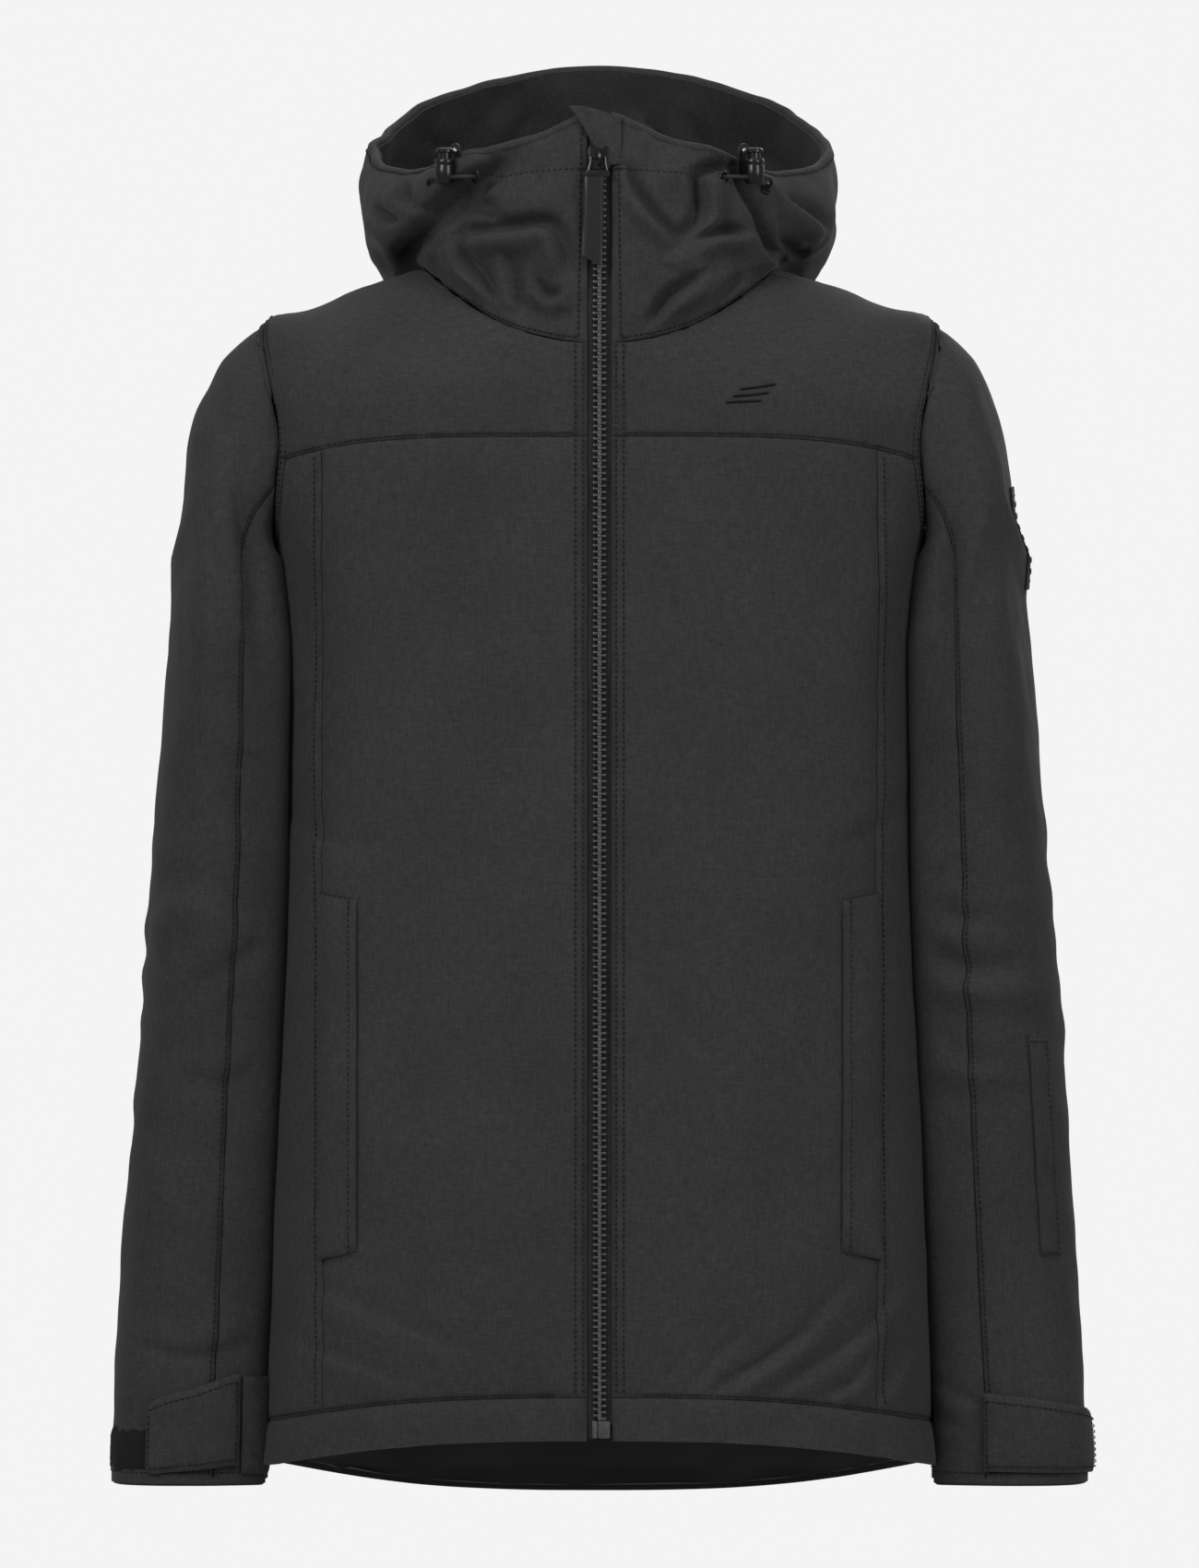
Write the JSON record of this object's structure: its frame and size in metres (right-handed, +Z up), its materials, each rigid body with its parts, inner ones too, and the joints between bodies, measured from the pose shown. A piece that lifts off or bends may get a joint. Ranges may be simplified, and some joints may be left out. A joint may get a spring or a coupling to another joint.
{
  "type": "ski jacket",
  "caption": "Hooded ski jacket with a full front zip, stand collar, corded hood, zipped hand and sleeve pockets and tabbed cuffs.",
  "frame": {"origin": "inside the hanger loop at the back of the neck, where the peg carries the jacket", "axes": "+Z up along the jacket, wearer faces -Y, +X is the wearer's left"},
  "size_m": [0.5552, 0.3485, 0.8184],
  "materials": {
    "shell_fabric": "fine matt heathered weave",
    "lining_fabric": "smooth black padded lining",
    "binding": "black woven tape",
    "hook_and_loop": "matt black pile",
    "zip_plastic": "black moulded plastic",
    "zip_metal": "satin black enamel",
    "lock_plastic": "black moulded plastic, semi-gloss",
    "cord": "round elastic cord",
    "badge_rubber": "matt moulded badge"
  },
  "bodies": {
    "jacket": {"back_panel": "shell_fabric", "back_yoke": "shell_fabric", "chin_guard": "shell_fabric", "collar_left": "shell_fabric", "collar_lining_left": "lining_fabric", "collar_lining_right": "lining_fabric", "collar_right": "shell_fabric", "cord_tab_left": "binding", "cord_tab_right": "binding", "front_panel_left": "shell_fabric", "front_panel_right": "shell_fabric", "front_side_panel_left": "shell_fabric", "front_side_panel_right": "shell_fabric", "front_yoke_left": "shell_fabric", "front_yoke_right": "shell_fabric", "hand_pocket_bag_left": "lining_fabric", "hand_pocket_bag_right": "lining_fabric", "hand_pocket_welt_left": "shell_fabric", "hand_pocket_welt_right": "shell_fabric", "hanger_loop": "binding", "hem_band_back": "shell_fabric", "hem_band_left": "shell_fabric", "hem_band_right": "shell_fabric", "hood_cord_left": "cord", "hood_cord_right": "cord", "lining_back": "lining_fabric", "lining_front_left": "lining_fabric", "lining_front_right": "lining_fabric", "zip_box": "zip_plastic", "zip_chain_left": "zip_plastic", "zip_chain_right": "zip_plastic", "zip_pin": "zip_plastic", "zip_tape_left": "binding", "zip_tape_right": "binding"},
    "hood": {"hood_side_left": "shell_fabric", "hood_side_right": "shell_fabric", "hood_center_panel": "shell_fabric", "hood_lining": "lining_fabric"},
    "zip_slider": {"zip_slider": "zip_metal"},
    "zip_pull": {"zip_pull_frame": "zip_metal", "zip_pull_strap": "binding"},
    "left_sleeve": {"sleeve_upper_left": "shell_fabric", "sleeve_lining_upper_left": "lining_fabric", "sleeve_badge": "badge_rubber"},
    "left_forearm": {"sleeve_lower_left": "shell_fabric", "sleeve_lining_lower_left": "lining_fabric", "cuff_loop_patch_left": "hook_and_loop", "sleeve_pocket_welt": "shell_fabric", "sleeve_pocket_bag": "lining_fabric"},
    "left_cuff_tab": {"cuff_tab_left": "shell_fabric"},
    "left_cord_lock": {"cord_lock_body_left": "lock_plastic"},
    "left_cord_lock_button": {"cord_lock_button_left": "lock_plastic"},
    "right_sleeve": {"sleeve_upper_right": "shell_fabric", "sleeve_lining_upper_right": "lining_fabric"},
    "right_forearm": {"sleeve_lower_right": "shell_fabric", "sleeve_lining_lower_right": "lining_fabric", "cuff_loop_patch_right": "hook_and_loop"},
    "right_cuff_tab": {"cuff_tab_right": "shell_fabric"},
    "right_cord_lock": {"cord_lock_body_right": "lock_plastic"},
    "right_cord_lock_button": {"cord_lock_button_right": "lock_plastic"}
  },
  "joints": [
    {"name": "hood_lift", "type": "hinge", "parent": "jacket", "child": "hood", "pos_m": [0, -0.11, 0.064], "axis": [1, 0, 0], "range_deg": [0, 55]},
    {"name": "left_shoulder_swing", "type": "hinge", "parent": "jacket", "child": "left_sleeve", "pos_m": [0.19, -0.064, -0.094], "axis": [-1, 0, 0], "range_deg": [-15, 50]},
    {"name": "left_elbow_bend", "type": "hinge", "parent": "left_sleeve", "child": "left_forearm", "pos_m": [0.2196, -0.135, -0.364], "axis": [-1, 0, 0], "range_deg": [0, 60]},
    {"name": "right_shoulder_swing", "type": "hinge", "parent": "jacket", "child": "right_sleeve", "pos_m": [-0.19, -0.064, -0.094], "axis": [-1, 0, 0], "range_deg": [-15, 50]},
    {"name": "right_elbow_bend", "type": "hinge", "parent": "right_sleeve", "child": "right_forearm", "pos_m": [-0.2196, -0.135, -0.364], "axis": [-1, 0, 0], "range_deg": [0, 60]},
    {"name": "left_cuff_tab_peel", "type": "hinge", "parent": "left_forearm", "child": "left_cuff_tab", "pos_m": [0.2153, -0.1204, -0.6466], "axis": [0, 0, -1], "range_deg": [0, 100]},
    {"name": "right_cuff_tab_peel", "type": "hinge", "parent": "right_forearm", "child": "right_cuff_tab", "pos_m": [-0.2023, -0.1113, -0.6466], "axis": [0, 0, 1], "range_deg": [0, 80]},
    {"name": "zip_slide", "type": "slide", "parent": "jacket", "child": "zip_slider", "axis": [0, 0.0514, 0.9987], "range_m": [-0.694, 0]},
    {"name": "zip_pull_swing", "type": "hinge", "parent": "zip_slider", "child": "zip_pull", "pos_m": [-0.001, -0.1575, 0.0627], "axis": [-1, 0, 0], "range_deg": [0, 150]},
    {"name": "left_cord_lock_slide", "type": "slide", "parent": "jacket", "child": "left_cord_lock", "axis": [0.7431, 0.6691, 0], "range_m": [-0.003, 0.003]},
    {"name": "left_cord_lock_press", "type": "slide", "parent": "left_cord_lock", "child": "left_cord_lock_button", "axis": [0, 0, -1], "range_m": [0, 0.0025], "stiffness_N_per_m": 400, "springref_m": -0.002},
    {"name": "right_cord_lock_slide", "type": "slide", "parent": "jacket", "child": "right_cord_lock", "axis": [-0.7431, 0.6691, 0], "range_m": [-0.003, 0.003]},
    {"name": "right_cord_lock_press", "type": "slide", "parent": "right_cord_lock", "child": "right_cord_lock_button", "axis": [0, 0, -1], "range_m": [0, 0.0025], "stiffness_N_per_m": 400, "springref_m": -0.002}
  ]
}
